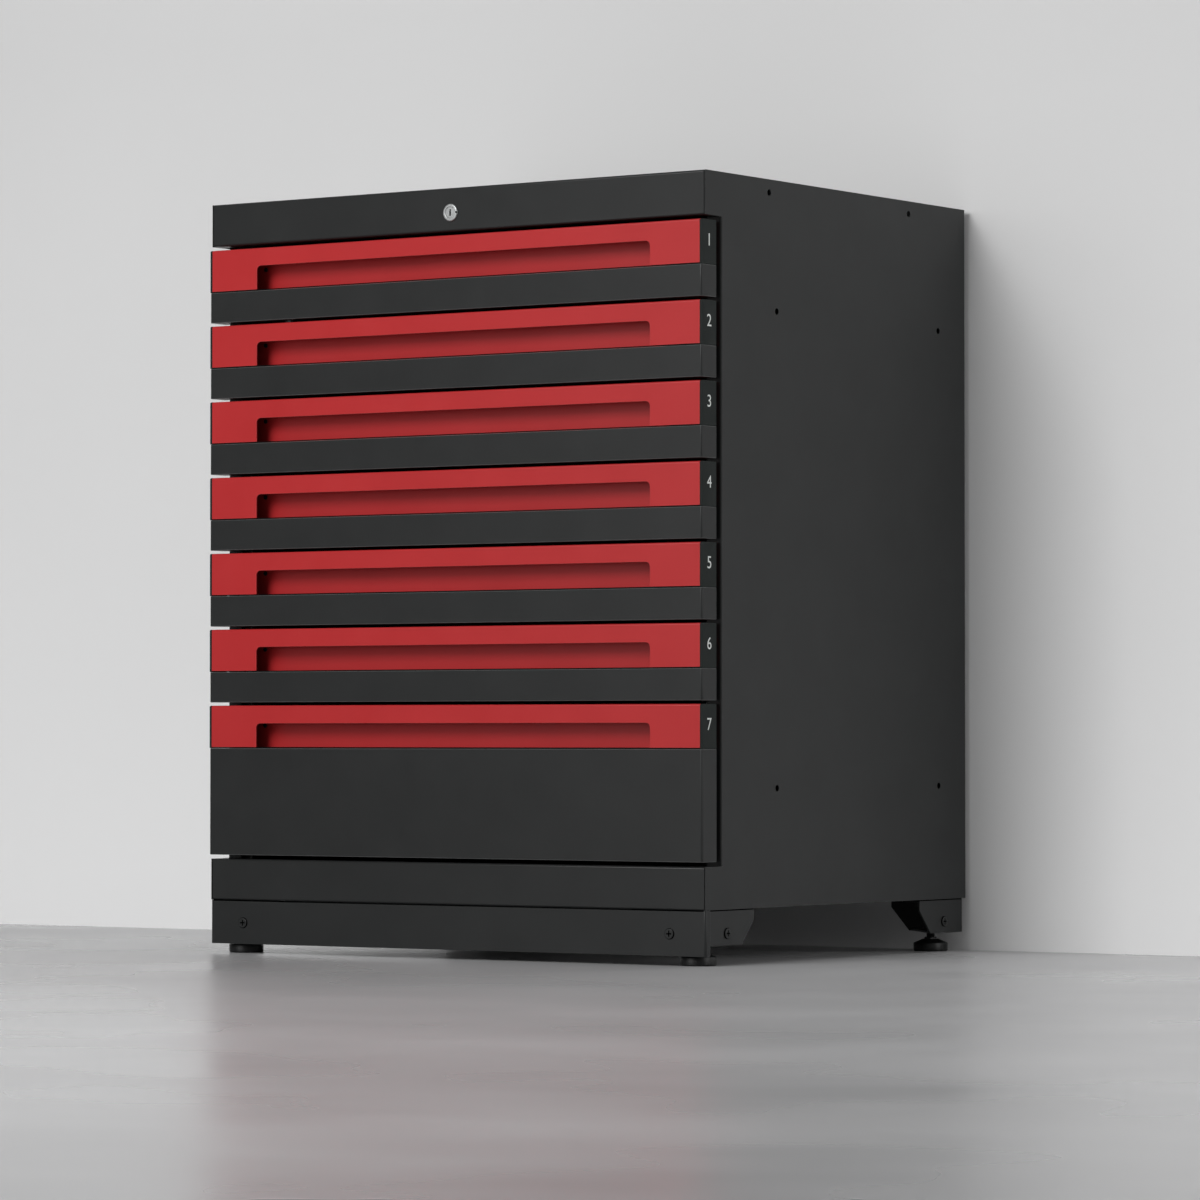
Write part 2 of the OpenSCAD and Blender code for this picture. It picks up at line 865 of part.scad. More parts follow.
side_panel_left();
side_panel_right();
back_panel();
top_cover();
base_pan();
uprights();
outer_rails();
lock_cylinder();
lock_plug();
lock_rod();
lock_bar();
plinth();
corner_brackets();
base_screws();
front_foot(-1);  // foot_front_left
front_foot(1);  // foot_front_right
rear_foot(-1);  // foot_rear_left
rear_foot(1);  // foot_rear_right
for (k = [1 : drawers]) {
    tray(k);
    drawer_front(k);
    handle(k);
    end_caps(k);
    inner_rails(k);
    middle_rails(k);
}
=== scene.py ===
"""Finishes, small fittings, light and camera for a seven-drawer steel tool cabinet."""
import json
import math

import bmesh
import bpy
from mathutils import Matrix, Vector

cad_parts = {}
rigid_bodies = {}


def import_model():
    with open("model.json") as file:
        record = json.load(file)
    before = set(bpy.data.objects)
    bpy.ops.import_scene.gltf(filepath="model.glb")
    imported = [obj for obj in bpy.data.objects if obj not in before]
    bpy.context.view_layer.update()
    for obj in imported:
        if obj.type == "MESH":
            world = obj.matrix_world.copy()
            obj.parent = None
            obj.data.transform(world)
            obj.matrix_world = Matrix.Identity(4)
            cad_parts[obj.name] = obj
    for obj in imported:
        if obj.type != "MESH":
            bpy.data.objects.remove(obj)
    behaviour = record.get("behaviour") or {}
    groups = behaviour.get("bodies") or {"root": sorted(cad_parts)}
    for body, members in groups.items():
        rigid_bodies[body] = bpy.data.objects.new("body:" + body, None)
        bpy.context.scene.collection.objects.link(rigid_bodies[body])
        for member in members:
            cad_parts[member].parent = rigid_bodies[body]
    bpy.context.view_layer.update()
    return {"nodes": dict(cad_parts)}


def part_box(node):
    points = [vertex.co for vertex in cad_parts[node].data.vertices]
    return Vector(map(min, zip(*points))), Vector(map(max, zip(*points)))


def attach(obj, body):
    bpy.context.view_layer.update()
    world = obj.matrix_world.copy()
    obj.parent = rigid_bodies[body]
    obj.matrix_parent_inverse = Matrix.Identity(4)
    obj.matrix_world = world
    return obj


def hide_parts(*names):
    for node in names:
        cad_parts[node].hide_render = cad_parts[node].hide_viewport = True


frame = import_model()

MM = 0.001
DRAWERS = range(1, 8)
FEET = ("foot_front_left", "foot_front_right", "foot_rear_left", "foot_rear_right")
FRONT, REAR, DOWN = (0, -1, 0), (0, 1, 0), (0, 0, -1)


# Materials

class Finish:
    """A material whose colour, roughness and relief come from noise in the object's own space."""

    def __init__(self, name, **values):
        self.material = bpy.data.materials.new(name)
        self.material.use_nodes = True
        self.tree = self.material.node_tree
        self.shader = self.tree.nodes["Principled BSDF"]
        self.space = self.add("ShaderNodeTexCoord").outputs["Object"]
        for socket, value in values.items():
            self.shader.inputs[socket.replace("_", " ")].default_value = value

    def add(self, kind, **settings):
        node = self.tree.nodes.new(kind)
        for key, value in settings.items():
            setattr(node, key, value)
        return node

    def wire(self, output, socket):
        self.tree.links.new(output, socket)

    def noise(self, size_mm, detail=2.0, stretch=(1, 1, 1)):
        """Noise with features of about that size; stretch makes them longer along an axis."""
        mapping = self.add("ShaderNodeMapping")
        mapping.inputs["Scale"].default_value = [1 / s for s in stretch]
        self.wire(self.space, mapping.inputs["Vector"])
        node = self.add("ShaderNodeTexNoise")
        node.inputs["Scale"].default_value = 1 / (size_mm * MM)
        node.inputs["Detail"].default_value = detail
        self.wire(mapping.outputs["Vector"], node.inputs["Vector"])
        return node.outputs["Fac"]

    def sum(self, a, b, share):
        """a and b mixed, with that share of b."""
        node = self.add("ShaderNodeMix", data_type="FLOAT")
        node.inputs["Factor"].default_value = share
        self.wire(a, node.inputs["A"])
        self.wire(b, node.inputs["B"])
        return node.outputs["Result"]

    def spread(self, value, low, high, start=0.3, end=0.7):
        """Low where the value is at its start, high where it is at its end, and even between."""
        node = self.add("ShaderNodeMapRange")
        node.inputs["From Min"].default_value = start
        node.inputs["From Max"].default_value = end
        node.inputs["To Min"].default_value = low
        node.inputs["To Max"].default_value = high
        self.wire(value, node.inputs["Value"])
        return node.outputs["Result"]

    def opposite(self, mask):
        """1 where the mask is 0, and 0 where it is 1."""
        return self.spread(mask, 1, 0, start=0, end=1)

    def reckon(self, operation, *terms, clamp=False):
        """The result of one operation; each term is a node's output or a number."""
        node = self.add("ShaderNodeMath", operation=operation, use_clamp=clamp)
        for term, socket in zip(terms, node.inputs):
            if isinstance(term, bpy.types.NodeSocket):
                self.wire(term, socket)
            else:
                socket.default_value = term
        return node.outputs["Value"]

    def along(self, axis):
        """The place along an axis of the object's space."""
        axes = self.add("ShaderNodeSeparateXYZ")
        self.wire(self.space, axes.inputs["Vector"])
        return axes.outputs[axis]

    def beyond(self, axis, level):
        """1 where the distance along an axis, either way, is more than the level."""
        return self.reckon("GREATER_THAN", self.reckon("ABSOLUTE", self.along(axis)), level)

    def colour(self, value, dark, light):
        node = self.add("ShaderNodeMix", data_type="RGBA")
        node.inputs["A"].default_value = (*dark, 1)
        node.inputs["B"].default_value = (*light, 1)
        self.wire(self.spread(value, 0, 1), node.inputs["Factor"])
        self.wire(node.outputs["Result"], self.shader.inputs["Base Color"])

    def cover(self, mask, paint):
        """Another colour, without gloss, where the mask is 1."""
        over = self.add("ShaderNodeMix", data_type="RGBA")
        self.wire(self.shader.inputs["Base Color"].links[0].from_socket, over.inputs["A"])
        over.inputs["B"].default_value = (*paint, 1)
        self.wire(mask, over.inputs["Factor"])
        self.wire(over.outputs["Result"], self.shader.inputs["Base Color"])
        gloss = self.shader.inputs["Specular IOR Level"]
        self.wire(self.spread(mask, gloss.default_value, 0, start=0, end=1), gloss)

    def roughness(self, value, low, high):
        self.wire(self.spread(value, low, high), self.shader.inputs["Roughness"])

    def relief(self, value, depth_mm):
        node = self.add("ShaderNodeBump")
        node.inputs["Strength"].default_value = 1
        node.inputs["Distance"].default_value = depth_mm * MM
        self.wire(value, node.inputs["Height"])
        self.wire(node.outputs["Normal"], self.shader.inputs["Normal"])


def linear(*levels):
    """Linear colour from display levels of 0 to 255."""
    return tuple(((v / 255 + 0.055) / 1.055) ** 2.4 if v > 10 else v / 255 / 12.92 for v in levels)


PAINT_GLOSS = 0.2
PAINT_GRAIN_MM = 0.9


def powder_finish(name, dark, light, rough, grain_mm=PAINT_GRAIN_MM):
    """Satin powder coat: faint clouding, fine orange peel and uneven gloss."""
    f = Finish(name, Specular_IOR_Level=PAINT_GLOSS)
    grain = f.noise(grain_mm)
    clouds = f.noise(size_mm=70, detail=3)
    patches = f.noise(size_mm=25, detail=3)
    peel = f.noise(grain_mm / 3)
    f.colour(f.sum(clouds, grain, share=0.45), dark, light)
    f.roughness(f.sum(patches, grain, share=0.5), rough - 0.06, rough + 0.06)
    f.relief(f.sum(grain, peel, share=0.3), depth_mm=0.03)
    return f


def powder_coat(name, dark, light, rough, grain_mm=PAINT_GRAIN_MM):
    return powder_finish(name, dark, light, rough, grain_mm).material


def rubbed_edge(name, paint, worn_and_lit, rough):
    """The same coat, lighter in patches along an eased edge: partly handling wear, partly painted
    highlight.
    """
    f = Finish(name, Specular_IOR_Level=PAINT_GLOSS)
    patches = f.noise(size_mm=9, detail=4)
    specks = f.noise(size_mm=1.2)
    f.colour(f.sum(patches, specks, share=0.4), paint, worn_and_lit)
    f.roughness(f.noise(size_mm=6), rough - 0.08, rough + 0.05)
    return f.material


def moulded(name, dark, light, rough, gloss=0.3):
    """Moulded plastic with a fine spark-eroded texture."""
    f = Finish(name, Specular_IOR_Level=gloss)
    grain = f.noise(size_mm=0.45, detail=3)
    f.colour(f.sum(f.noise(size_mm=18), grain, share=0.5), dark, light)
    f.roughness(grain, rough - 0.07, rough + 0.07)
    f.relief(grain, depth_mm=0.05)
    return f.material


def plated(name, dark, light, rough, grain=(1, 1, 1), streak_mm=1.2):
    """Plated steel with drawing lines along the grain and slightly cloudy gloss."""
    f = Finish(name, Metallic=1.0)
    lines = f.noise(streak_mm, detail=3, stretch=grain)
    clouds = f.noise(size_mm=22, detail=3)
    f.colour(f.sum(clouds, lines, share=0.5), dark, light)
    f.roughness(f.sum(lines, f.noise(size_mm=14), share=0.5), rough - 0.08, rough + 0.1)
    f.relief(lines, depth_mm=0.008)
    return f.material


# Near-black for painted shade: the shadow band on the brackets and the shade on the screws
SHADE_BLACK = linear(2, 2, 2)
SHADOW_BAND_H = 1.3 * MM
SCREW_FACE = 1.25 * MM


def bracket_coat(coat):
    """The body's coat, with a black band painted along the brackets' top edge as the shadow of the gap
    above it.
    """
    f = powder_finish("bracket_paint_with_shadow_band", *coat)
    f.cover(f.beyond("Z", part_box("corner_brackets")[1].z - SHADOW_BAND_H), SHADE_BLACK)
    return f.material


def screw_coat(coat):
    """The body's coat on the screws' faces; their sides and cross recesses are painted black as painted
    shade and shadow.
    """
    f = powder_finish("screw_paint_with_painted_shade", *coat)
    front = f.beyond("Y", -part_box("plinth")[0].y + SCREW_FACE)
    side = f.beyond("X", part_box("corner_brackets")[1].x + SCREW_FACE)
    f.cover(f.opposite(f.reckon("MAXIMUM", front, side)), SHADE_BLACK)
    return f.material


BODY_COAT = linear(34, 35, 35), linear(40, 41, 41), 0.34
BODY = powder_coat("body_powder_coat", *BODY_COAT)
# Lighter edge paints: partly wear, partly painted highlight; on the drawer fronts, painted highlight
BODY_EDGE = rubbed_edge("body_edge_wear_and_highlight", linear(40, 41, 41), linear(54, 55, 55), 0.34)
FRONT_EDGE = rubbed_edge("front_edge_painted_highlight", linear(66, 67, 67), linear(88, 89, 89), 0.34)
RED = powder_coat("handle_powder_coat", linear(170, 38, 40), linear(178, 44, 46), 0.34, grain_mm=0.7)
RED_EDGE = rubbed_edge("handle_edge_wear_and_highlight", linear(176, 48, 50), linear(190, 66, 66), 0.33)
CAP = moulded("cap_plastic", linear(27, 31, 30), linear(33, 37, 36), 0.5, gloss=0.1)
ZINC = plated("zinc_plate", (0.52, 0.53, 0.55), (0.66, 0.67, 0.69), 0.34, grain=(1, 40, 1))
CHROME = plated("satin_chrome", (0.35, 0.36, 0.36), (0.45, 0.46, 0.46), 0.38, streak_mm=0.5)
NYLON = moulded("foot_nylon", linear(11, 12, 12), linear(17, 18, 18), 0.4)
BLACK = moulded("black_zinc", linear(22, 22, 23), linear(30, 30, 31), 0.45)
PRINT = moulded("pad_print", linear(205, 208, 206), linear(222, 224, 222), 0.5)
# Near-black for painted shade: the shadow strips under the handle bands and the dot at the lock's notch
DARK = moulded("painted_shade_black", linear(3, 3, 3), linear(8, 8, 8), 0.5, gloss=0.05)
BRACKET = bracket_coat(BODY_COAT)
SCREW = screw_coat(BODY_COAT)


# Dressing of the solids

WELD_GAP = 0.005 * MM
FLAT_ANGLE = math.radians(0.4)
EDGE_ANGLE = math.radians(40)


def dress(name, paint, edge=None, width_mm=0, segments=2):
    """Gives a solid its paint and, where edge is set, eased edges that take the edge paint."""
    solid = frame["nodes"][name]
    solid.data.materials.clear()
    solid.data.materials.append(paint)
    if edge is None:
        return
    solid.data.materials.append(edge)
    weld = solid.modifiers.new("weld", "WELD")
    weld.merge_threshold = WELD_GAP
    flat = solid.modifiers.new("flat", "DECIMATE")
    flat.decimate_type = "DISSOLVE"
    flat.angle_limit = FLAT_ANGLE
    bevel = solid.modifiers.new("bevel", "BEVEL")
    bevel.width = width_mm * MM
    bevel.segments = segments
    bevel.limit_method = "ANGLE"
    bevel.angle_limit = EDGE_ANGLE
    bevel.use_clamp_overlap = False
    bevel.harden_normals = True
    bevel.material = 1


for name in ("side_panel_left", "side_panel_right", "top_cover", "base_pan", "plinth", "back_panel"):
    dress(name, BODY, BODY_EDGE, width_mm=0.35)
dress("corner_brackets", BRACKET, BRACKET, width_mm=0.5)
dress("uprights", BODY)
dress("outer_rails", ZINC)
dress("lock_cylinder", CHROME, CHROME, width_mm=0.5, segments=3)
dress("lock_plug", CHROME, CHROME, width_mm=0.25)
dress("lock_rod", ZINC)
dress("lock_bar", ZINC)
dress("base_screws", SCREW, SCREW, width_mm=0.2)
for k in DRAWERS:
    dress(f"drawer_{k}_tray", BODY)
    dress(f"drawer_{k}_front", BODY, FRONT_EDGE, width_mm=0.7, segments=3)
    dress(f"drawer_{k}_handle", RED, RED_EDGE, width_mm=0.5, segments=3)
    dress(f"drawer_{k}_end_caps", CAP, CAP, width_mm=0.6, segments=3)
    dress(f"drawer_{k}_inner_rails", ZINC)
    dress(f"drawer_{k}_middle_rails", ZINC)


# Shapes of the small fittings

HEXAGON, SMALL_ROUND, LARGE_ROUND = 6, 20, 96


def ring(mesh, radii, height):
    """A loop of vertices about Z at even turns, with a radius for each."""
    turns = [math.tau * i / len(radii) for i in range(len(radii))]
    return [mesh.verts.new((r * math.cos(a), r * math.sin(a), height)) for r, a in zip(radii, turns)]


def tube(rows, closed=True):
    """A mesh and its rings, from rows of radii with a height, listed from the bottom up."""
    mesh = bmesh.new()
    rings = [ring(mesh, radii, height) for radii, height in rows]
    for low, high in zip(rings, rings[1:]):
        for i in range(len(low)):
            j = (i + 1) % len(low)
            mesh.faces.new((low[i], low[j], high[j], high[i]))
    if closed:
        mesh.faces.new(list(reversed(rings[0])))
        mesh.faces.new(rings[-1])
    return mesh, rings


def lathe(profile, segments):
    """A closed solid of revolution about Z from (radius, height) points, listed from the bottom up."""
    return tube([([radius] * segments, height) for radius, height in profile])[0]


HEAD_SEGMENTS = 24
HEAD_SIDE_H, HEAD_DOME_H = 0.4, 0.8
HEAD_DOME_R, HEAD_FLAT_R = 0.9, 0.72
SLOT_TAPER = 0.8


def cross_head(radius, height, slot_l, slot_w, depth):
    """A domed screw head that stands on z = 0, with a cross recess."""
    profile = [
        (radius, 0),
        (radius, height * HEAD_SIDE_H),
        (radius * HEAD_DOME_R, height * HEAD_DOME_H),
        (radius * HEAD_FLAT_R, height),
    ]
    mesh, rings = tube([([r] * HEAD_SEGMENTS, h) for r, h in profile], closed=False)
    near, far = slot_w / 2, slot_l / 2
    outline = []
    for turn in range(4):
        c, s = round(math.cos(turn * math.pi / 2)), round(math.sin(turn * math.pi / 2))
        outline += [(x * c - y * s, x * s + y * c) for x, y in ((far, -near), (far, near), (near, near))]
    upper = [mesh.verts.new((x, y, height)) for x, y in outline]
    lower = [mesh.verts.new((x * SLOT_TAPER, y * SLOT_TAPER, height - depth)) for x, y in outline]
    rim = rings[-1]
    edges = [mesh.edges.get(pair) for pair in zip(rim, rim[1:] + rim[:1])]
    edges += [mesh.edges.new(pair) for pair in zip(upper, upper[1:] + upper[:1])]
    bmesh.ops.triangle_fill(mesh, edges=edges, use_beauty=True, use_dissolve=False)
    for i in range(len(outline)):
        j = (i + 1) % len(outline)
        mesh.faces.new((upper[i], lower[i], lower[j], upper[j]))
    mesh.faces.new(lower)
    bmesh.ops.recalc_face_normals(mesh, faces=mesh.faces)
    return mesh


def block(low, high):
    mesh = bmesh.new()
    bmesh.ops.create_cube(mesh, size=1)
    size = Vector(high) - Vector(low)
    middle = (Vector(high) + Vector(low)) / 2
    mesh.transform(Matrix.Translation(middle) @ Matrix.Diagonal((*size, 1)))
    return mesh


def facing(direction, spot):
    """Matrix that turns +Z to the direction and moves the origin to the spot."""
    return Matrix.Translation(spot) @ Vector(direction).to_track_quat("Z", "Y").to_matrix().to_4x4()


def copies(shape, direction, spots):
    """The shape at each spot, turned to the direction."""
    return [(shape, facing(direction, spot)) for spot in spots]


CREASE = math.radians(35)


def put(name, parts, paint, body):
    """One piece made of shape copies, each at its own matrix, riding on a body."""
    data = bpy.data.meshes.new(name)
    whole = bmesh.new()
    for shape, matrix in parts:
        copy = shape.copy()
        copy.transform(matrix)
        lump = bpy.data.meshes.new("lump")
        copy.to_mesh(lump)
        whole.from_mesh(lump)
        bpy.data.meshes.remove(lump)
        copy.free()
    for face in whole.faces:
        face.smooth = True
    for edge in whole.edges:
        if len(edge.link_faces) == 2 and edge.calc_face_angle(0) > CREASE:
            edge.smooth = False
    whole.to_mesh(data)
    whole.free()
    data.materials.append(paint)
    piece = bpy.data.objects.new(name, data)
    bpy.context.scene.collection.objects.link(piece)
    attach(piece, body)
    return piece


# Screws in the recess, beside the cut-out, and screws through each tray's front wall
WALL_T = 2 * MM
TRAY_T = 1 * MM
SCREW_UP = 24.4 * MM
RECESS_SCREW_X = (-276 * MM, 276 * MM)
TRAY_SCREW_X = (-250 * MM, -90 * MM, 90 * MM, 250 * MM)
recess_screw = cross_head(
    radius=2.6 * MM, height=1.4 * MM, slot_l=2.8 * MM, slot_w=0.7 * MM, depth=0.8 * MM,
)
tray_screw = cross_head(
    radius=4.2 * MM, height=2.0 * MM, slot_l=4.2 * MM, slot_w=1.1 * MM, depth=1.2 * MM,
)
for k in DRAWERS:
    low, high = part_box(f"drawer_{k}_handle")
    height = low.z + SCREW_UP
    recess_spots = [(x, high.y - WALL_T, height) for x in RECESS_SCREW_X]
    screws = copies(recess_screw, FRONT, recess_spots)
    put(f"recess_screws_{k}", screws, BLACK, f"drawer_{k}")
    tray_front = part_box(f"drawer_{k}_tray")[0].y
    tray_spots = [(x, tray_front + TRAY_T, height) for x in TRAY_SCREW_X]
    screws = copies(tray_screw, REAR, tray_spots)
    put(f"tray_screws_{k}", screws, ZINC, f"drawer_{k}")

# Painted shadow: a thin black strip on each panel just under its handle band, where the band shades it
SHADOW_STRIP_H, SHADOW_STRIP_PROUD, SHADOW_STRIP_IN = 1.0 * MM, 0.06 * MM, 1.2 * MM
for k in DRAWERS:
    low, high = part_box(f"drawer_{k}_handle")
    strip = block((low.x, low.y - SHADOW_STRIP_PROUD, low.z - SHADOW_STRIP_H), (high.x, low.y + SHADOW_STRIP_IN, low.z))
    put(f"band_shadow_{k}", [(strip, Matrix())], DARK, f"drawer_{k}")

# Plain drawer numbers on the end caps
NUMBER_H = 13 * MM
NUMBER_T = 0.12 * MM
NUMBER_UP = 0.55


def number_mesh(k):
    """The number as a thin plate in the XY plane, centred on the origin."""
    curve = bpy.data.curves.new("number", "FONT")
    curve.body = str(k)
    curve.extrude = NUMBER_T / 2
    carrier = bpy.data.objects.new("number", curve)
    bpy.context.scene.collection.objects.link(carrier)
    bpy.context.view_layer.update()
    data = bpy.data.meshes.new_from_object(carrier.evaluated_get(bpy.context.evaluated_depsgraph_get()))
    shape = bmesh.new()
    shape.from_mesh(data)
    bpy.data.objects.remove(carrier)
    bpy.data.curves.remove(curve)
    bpy.data.meshes.remove(data)
    low = Vector([min(v.co[i] for v in shape.verts) for i in range(3)])
    high = Vector([max(v.co[i] for v in shape.verts) for i in range(3)])
    size = NUMBER_H / (high.y - low.y)
    middle = (low + high) / 2
    for v in shape.verts:
        v.co.x = (v.co.x - middle.x) * size
        v.co.y = (v.co.y - middle.y) * size
    return shape


for k in DRAWERS:
    low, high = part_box(f"drawer_{k}_end_caps")
    number = number_mesh(k)
    parts = []
    for side in (-1, 1):
        upright = Matrix.Rotation(side * math.pi / 2, 4, "Z") @ Matrix.Rotation(math.pi / 2, 4, "X")
        spot = Vector((side * high.x, (low.y + high.y) / 2, low.z + NUMBER_UP * (high.z - low.z)))
        parts.append((number, Matrix.Translation(spot) @ upright))
    put(f"cap_numbers_{k}", parts, PRINT, f"drawer_{k}")

# A black dot at the rim of the lock's face: painted shade where the rim has a notch
MARK_X = 8.7 * MM
MARK_R, MARK_TOP_R = 1.2 * MM, 1.0 * MM
MARK_IN, MARK_SIDE, MARK_PROUD = 0.5 * MM, 0.1 * MM, 0.16 * MM
low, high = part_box("lock_cylinder")
dot = lathe([(MARK_R, -MARK_IN), (MARK_R, MARK_SIDE), (MARK_TOP_R, MARK_PROUD)], SMALL_ROUND)
spot = Vector((MARK_X, low.y, (low.z + high.z) / 2))
put("lock_notch_shade", copies(dot, FRONT, [spot]), DARK, "cabinet")

# Rivets that hold the back panel in the rear flanges
RIVET_IN = 11 * MM
RIVET_ROWS, RIVET_END = 8, 40 * MM
RIVET_COLUMNS, RIVET_PITCH = 6, 100 * MM
rivet = lathe([
    (3.2 * MM, 0),
    (3.0 * MM, 0.3 * MM),
    (2.2 * MM, 0.65 * MM),
    (1.0 * MM, 0.8 * MM),
], SMALL_ROUND)
low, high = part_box("side_panel_right")
spots = []
for side in (-1, 1):
    for row in range(RIVET_ROWS):
        z = low.z + RIVET_END + (high.z - low.z - 2 * RIVET_END) * row / (RIVET_ROWS - 1)
        spots.append((side * (high.x - RIVET_IN), high.y, z))
for column in range(RIVET_COLUMNS):
    x = RIVET_PITCH * (column - (RIVET_COLUMNS - 1) / 2)
    spots += [(x, high.y, high.z - RIVET_IN), (x, high.y, low.z + RIVET_IN)]
put("back_rivets", copies(rivet, REAR, spots), BODY, "cabinet")

# Bolts that hold the corner brackets to the base pan, seen from below
FLANGE_T = 2.5 * MM
COLLAR_R, COLLAR_H = 7 * MM, 1 * MM
BOLT_R = 5.5 * MM
BOLT_TOP_R = BOLT_R * 0.85
BOLT_SIDE_H, BOLT_H = 4.4 * MM, 5 * MM
BOLT_ALONG, BOLT_ACROSS = 80 * MM, 10.5 * MM
bolt = lathe([
    (COLLAR_R, 0),
    (COLLAR_R, COLLAR_H),
    (BOLT_R, COLLAR_H),
    (BOLT_R, BOLT_SIDE_H),
    (BOLT_TOP_R, BOLT_H),
], HEXAGON)
low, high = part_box("corner_brackets")
spots = []
for x, inward in ((low.x, 1), (high.x, -1)):
    for y, back in ((low.y, 1), (high.y, -1)):
        for along, across in ((BOLT_ALONG, BOLT_ACROSS), (BOLT_ACROSS, BOLT_ALONG)):
            spots.append((x + inward * along, y + back * across, high.z - FLANGE_T))
put("bracket_bolts", copies(bolt, DOWN, spots), BLACK, "cabinet")

# Levelling feet: smooth nylon pad, hexagon collar and a threaded stem
PAD_R, RIM_H, CONE_H = 19.5 * MM, 10 * MM, 6 * MM
STEM_R, STEM_TOP = 5 * MM, 55.5 * MM
STEM_STEPS = 6
THREAD_PITCH, THREAD_D = 1.5 * MM, 0.75 * MM
HEX_R = 8 * MM
CONE_TOP = RIM_H + CONE_H * 0.6
pad = lathe([
    (PAD_R - 1.0 * MM, 0),
    (PAD_R - 0.2 * MM, 0.8 * MM),
    (PAD_R, 1.6 * MM),
    (PAD_R, RIM_H - 1.4 * MM),
    (PAD_R - 0.5 * MM, RIM_H - 0.4 * MM),
    (PAD_R - 1.6 * MM, RIM_H),
    (STEM_R * 1.9, CONE_TOP),
    (STEM_R * 1.7, CONE_TOP),
], LARGE_ROUND)
collar = lathe([
    (HEX_R, RIM_H + 3 * MM),
    (HEX_R, RIM_H + CONE_H - 0.6 * MM),
    (HEX_R * 0.9, RIM_H + CONE_H),
], HEXAGON)


def threaded_stem(low, high):
    """A stem with a helical thread, which runs out at its top."""
    count = int((high - low) / THREAD_PITCH * STEM_STEPS)
    rows = []
    for row in range(count + 1):
        z = low + (high - low) * row / count
        fade = min(1, (high - z) / THREAD_PITCH)
        radii = []
        for i in range(SMALL_ROUND):
            phase = (z / THREAD_PITCH - i / SMALL_ROUND) % 1
            crest = 1 - abs(2 * phase - 1)
            radii.append(STEM_R - THREAD_D * (1 - crest * fade))
        rows.append((radii, z))
    return tube(rows)[0]


stem = threaded_stem(RIM_H + CONE_H - 1 * MM, STEM_TOP)
for foot in FEET:
    low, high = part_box(foot)
    spot = Matrix.Translation(((low.x + high.x) / 2, (low.y + high.y) / 2, 0))
    piece = put(f"{foot}_pad", [(pad, spot)], NYLON, foot)
    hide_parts(foot)
    put(f"{foot}_stem", [(collar, spot), (stem, spot)], BLACK, foot)


# Floor and wall

STAGE_HALF = 9.0
WALL_Y = 0.28
SKIRT_H = 0.07
FADE_H = 1.2


def floor_coat():
    f = Finish("studio_floor", Specular_IOR_Level=0.5)
    f.colour(f.noise(size_mm=600, detail=3), linear(170, 170, 171), linear(182, 182, 183))
    f.roughness(f.noise(size_mm=400), 0.24, 0.34)
    return f.material


def wall_coat():
    """Matt paint, paler towards the floor as painted light that evens out the lamps, seen from the front
    by the camera and in reflections.

    Above its skirt the wall lets other light through, so that it doesn't shade the part's rear.
    """
    f = Finish("studio_wall", Specular_IOR_Level=0.2, Roughness=0.8)
    painted_low_light = f.spread(f.along("Z"), 0.75, 0.25, start=0, end=FADE_H)
    shade = f.sum(painted_low_light, f.noise(size_mm=900), share=0.15)
    f.colour(shade, linear(218, 218, 218), linear(242, 242, 242))
    path = f.add("ShaderNodeLightPath")
    seen = f.reckon("MAXIMUM", path.outputs["Is Camera Ray"], path.outputs["Is Glossy Ray"])
    closed = f.reckon("MAXIMUM", f.opposite(f.beyond("Z", SKIRT_H)), seen)
    behind = f.add("ShaderNodeNewGeometry").outputs["Backfacing"]
    shown = f.add("ShaderNodeMixShader")
    f.wire(f.reckon("SUBTRACT", closed, behind, clamp=True), shown.inputs["Fac"])
    f.wire(f.add("ShaderNodeBsdfTransparent").outputs["BSDF"], shown.inputs[1])
    f.wire(f.shader.outputs["BSDF"], shown.inputs[2])
    f.wire(shown.outputs["Shader"], f.tree.nodes["Material Output"].inputs["Surface"])
    return f.material


def stage_plane(name, corners, paint):
    data = bpy.data.meshes.new(name)
    data.from_pydata(corners, [], [(0, 1, 2, 3)])
    data.materials.append(paint)
    plane = bpy.data.objects.new(name, data)
    bpy.context.scene.collection.objects.link(plane)
    return plane


far = STAGE_HALF
floor_corners = [(-far, -far, 0), (far, -far, 0), (far, far, 0), (-far, far, 0)]
wall_corners = [(-far, WALL_Y, 0), (far, WALL_Y, 0), (far, WALL_Y, far), (-far, WALL_Y, far)]
floor = stage_plane("floor", floor_corners, floor_coat())
wall = stage_plane("wall", wall_corners, wall_coat())


# Light and camera

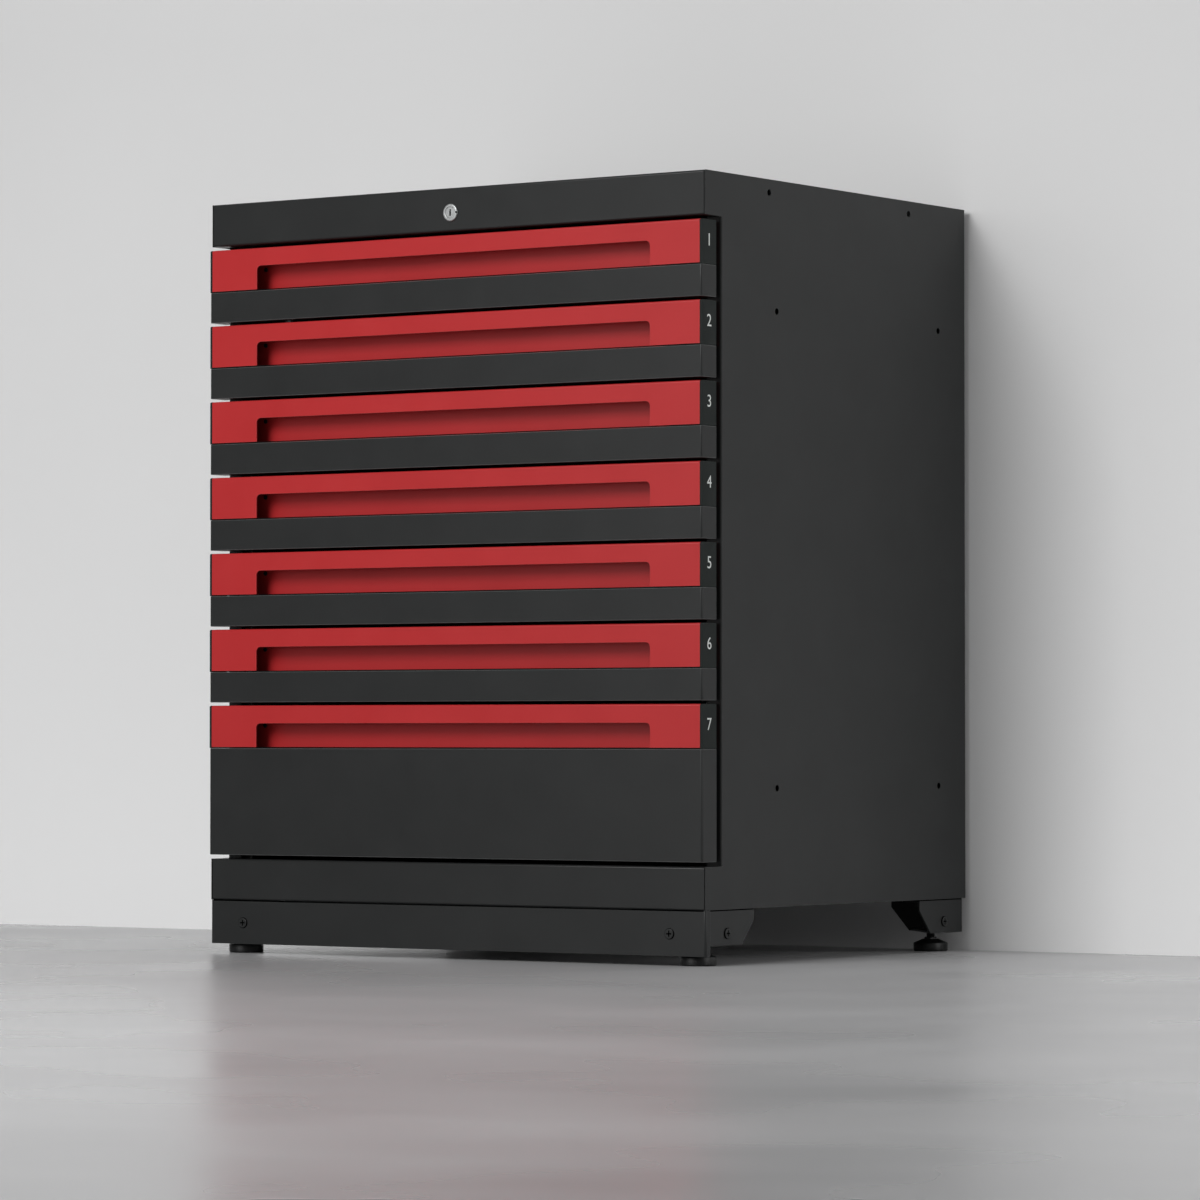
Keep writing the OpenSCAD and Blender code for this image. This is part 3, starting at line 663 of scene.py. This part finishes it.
WORLD_LIGHT = 0.28
world = bpy.data.worlds.new("studio")
world.use_nodes = True
world.node_tree.nodes["Background"].inputs["Color"].default_value = (1, 1, 1, 1)
world.node_tree.nodes["Background"].inputs["Strength"].default_value = WORLD_LIGHT
bpy.context.scene.world = world


def softbox(name, spot, aim, size, watts):
    """A square lamp that the camera doesn't see."""
    data = bpy.data.lights.new(name, "AREA")
    data.shape = "SQUARE"
    data.size = size
    data.energy = watts
    lamp = bpy.data.objects.new(name, data)
    lamp.location = spot
    lamp.rotation_euler = (Vector(aim) - Vector(spot)).to_track_quat("-Z", "Y").to_euler()
    lamp.visible_camera = False
    bpy.context.scene.collection.objects.link(lamp)
    return lamp


softbox("key", spot=(-0.25, -3.7, 2.3), aim=(0, 0, 0.4), size=1.4, watts=80)
softbox("side", spot=(4.0, 0.5, 1.1), aim=(0.3, 0, 0.4), size=2.4, watts=60)
softbox("sheen", spot=(-0.8, -4.0, 0.7), aim=(0, 0, 0.45), size=2.4, watts=42)
softbox("top", spot=(0.0, -1.4, 3.6), aim=(0, 0, 0), size=3.0, watts=6)
softbox("rear", spot=(0.6, 2.6, 3.2), aim=(0, 0.3, 0.3), size=2.0, watts=36)

# The back lamp lights the part alone, because the wall would let its light through to the floor in front
back = softbox("back", spot=(-0.6, 3.9, 0.9), aim=(0, 0.3, 0.45), size=1.4, watts=150)
part = bpy.data.collections.new("part")
for item in bpy.context.scene.objects:
    if item.type == "MESH" and item not in (floor, wall):
        part.objects.link(item)
back.light_linking.receiver_collection = part

# The camera is fitted to the cabinet's edges in the photograph
YAW, PITCH = math.radians(34.851), math.radians(1.456)
CAMERA_SPOT = (3.4629, -4.9515, 0.2472)
LENS_MM, SENSOR_MM = 158.772, 36
SIGHT = 60
camera = bpy.data.objects.new("camera", bpy.data.cameras.new("camera"))
camera.data.sensor_width = SENSOR_MM
camera.data.lens = LENS_MM
camera.data.clip_end = SIGHT
camera.location = CAMERA_SPOT
camera.rotation_euler = (math.pi / 2 + PITCH, 0, YAW)
bpy.context.scene.collection.objects.link(camera)
bpy.context.scene.camera = camera
bpy.context.scene.view_settings.view_transform = "Standard"
